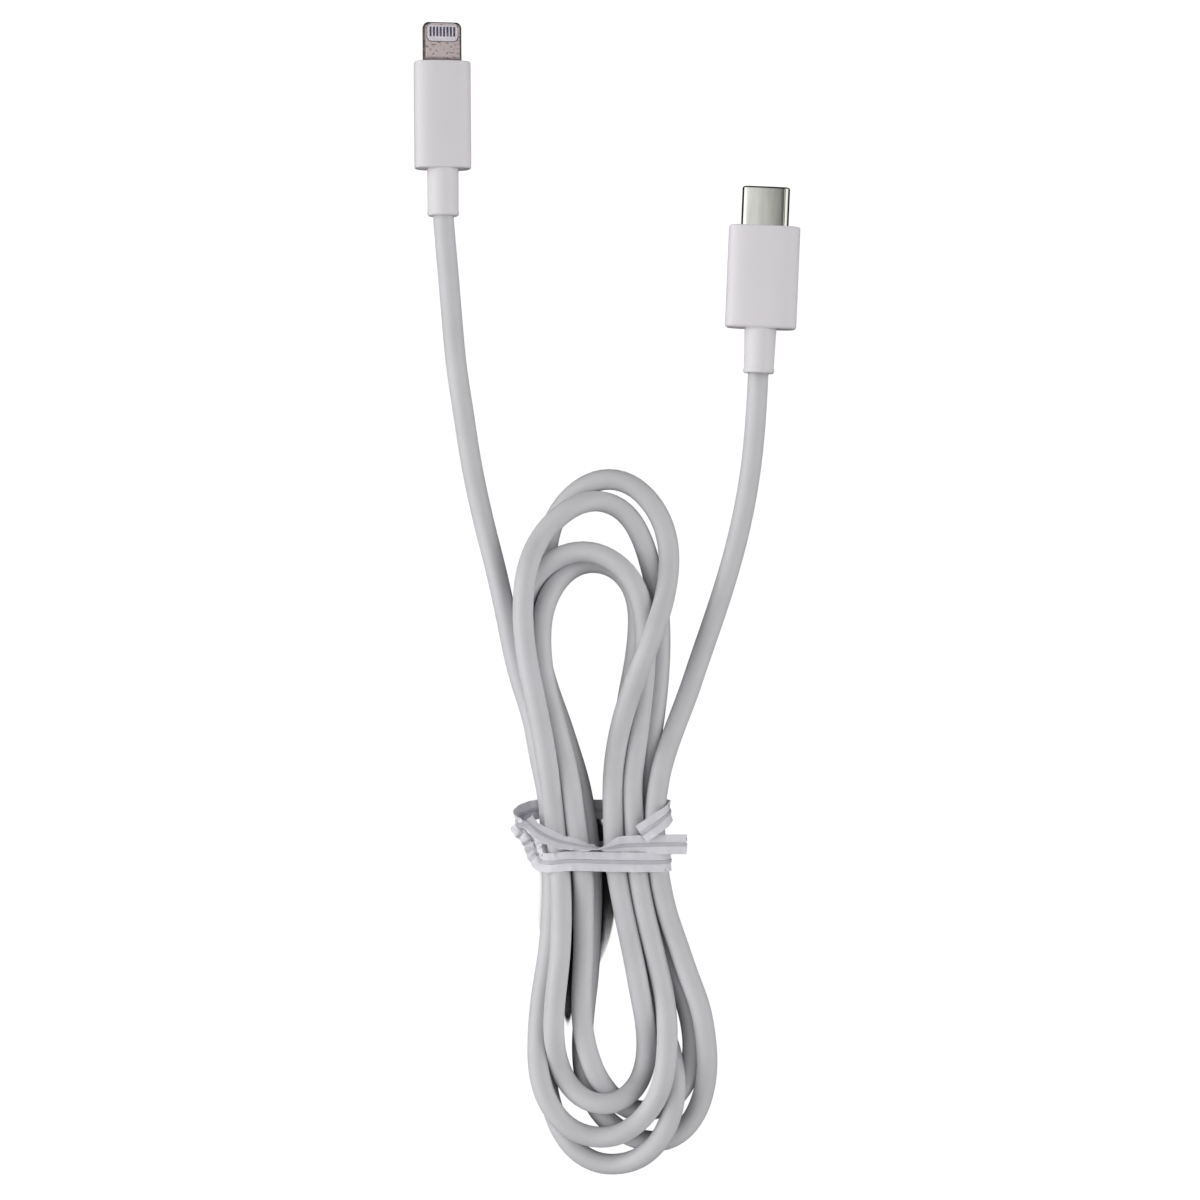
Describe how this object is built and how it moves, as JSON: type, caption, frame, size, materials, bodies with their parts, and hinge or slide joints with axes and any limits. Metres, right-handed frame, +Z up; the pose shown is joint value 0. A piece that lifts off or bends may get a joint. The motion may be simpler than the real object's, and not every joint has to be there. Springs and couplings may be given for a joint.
{
  "type": "charging cable",
  "caption": "White phone charging cable with a USB-C plug and a flat phone plug, folded into a long hank and held by a flat twist tie.",
  "frame": {"origin": "on the surface that the cable lies on, under the centre of the box round the two plugs and the twist tie", "axes": "+Y along the hank, from the tie towards the plugs; +X towards the USB-C plug's side; +Z up from the surface"},
  "size_m": [0.0671, 0.2003, 0.008],
  "materials": {
    "shell_steel": "satin, drawn",
    "black_plastic": "moulded",
    "gold_contacts": "gold plated",
    "spring_steel": "stamped",
    "board_green": "solder mask",
    "chip_black": "moulded",
    "wire_insulation": "extruded",
    "can_steel": "tin plated",
    "inner_plastic": "moulded",
    "white_cover": "fine satin moulding",
    "white_relief": "soft satin moulding",
    "blade_metal": "worn nickel, blotched",
    "pale_insert": "moulded",
    "dark_contacts": "worn plating",
    "cord_jacket": "soft extruded jacket",
    "tie_plastic": "thin extruded strip",
    "wire_steel": "annealed"
  },
  "bodies": {
    "cable": {"usb_c_shell": "shell_steel", "usb_c_contact_housing": "black_plastic", "usb_c_contact_tails": "gold_contacts", "usb_c_mid_plate": "spring_steel", "usb_c_ground_springs": "spring_steel", "usb_c_circuit_board": "board_green", "usb_c_board_chips": "chip_black", "usb_c_wires": "wire_insulation", "usb_c_rear_can": "can_steel", "usb_c_inner_mould": "inner_plastic", "usb_c_cover": "white_cover", "usb_c_strain_relief": "white_relief", "phone_plug_frame": "blade_metal", "phone_plug_contact_block": "pale_insert", "phone_plug_top_contacts": "dark_contacts", "phone_plug_bottom_contacts": "dark_contacts", "phone_plug_circuit_board": "board_green", "phone_plug_board_chips": "chip_black", "phone_plug_wires": "wire_insulation", "phone_plug_rear_can": "can_steel", "phone_plug_inner_mould": "inner_plastic", "phone_plug_cover": "white_cover", "phone_plug_strain_relief": "white_relief", "cord_phone_arm": "cord_jacket", "cord_hank": "cord_jacket", "cord_usb_arm": "cord_jacket", "tie_strip": "tie_plastic", "tie_wire": "wire_steel"},
    "upper_contact_springs": {"usb_c_upper_contacts": "gold_contacts"},
    "lower_contact_springs": {"usb_c_lower_contacts": "gold_contacts"},
    "left_latch": {"usb_c_left_latch": "spring_steel"},
    "right_latch": {"usb_c_right_latch": "spring_steel"}
  },
  "joints": [
    {"name": "upper_contacts_flex", "type": "hinge", "parent": "cable", "child": "upper_contact_springs", "pos_m": [0.02743, 0.0387, 0.0035], "axis": [0.9991, -0.0419, 0], "range_deg": [0, 2], "stiffness_Nm_per_rad": 0.0005},
    {"name": "lower_contacts_flex", "type": "hinge", "parent": "cable", "child": "lower_contact_springs", "pos_m": [0.02743, 0.0387, 0.0027], "axis": [0.9991, -0.0419, 0], "range_deg": [-2, 0], "stiffness_Nm_per_rad": 0.0005},
    {"name": "left_latch_flex", "type": "hinge", "parent": "cable", "child": "left_latch", "pos_m": [0.02392, 0.03624, 0.0031], "axis": [0, 0, 1], "range_deg": [0, 2], "stiffness_Nm_per_rad": 0.0005},
    {"name": "right_latch_flex", "type": "hinge", "parent": "cable", "child": "right_latch", "pos_m": [0.03072, 0.03596, 0.0031], "axis": [0, 0, 1], "range_deg": [-2, 0], "stiffness_Nm_per_rad": 0.0005}
  ],
  "couplings": [
    {"joint": "lower_contacts_flex", "follows": "upper_contacts_flex", "ratio": -1},
    {"joint": "right_latch_flex", "follows": "left_latch_flex", "ratio": -1}
  ]
}
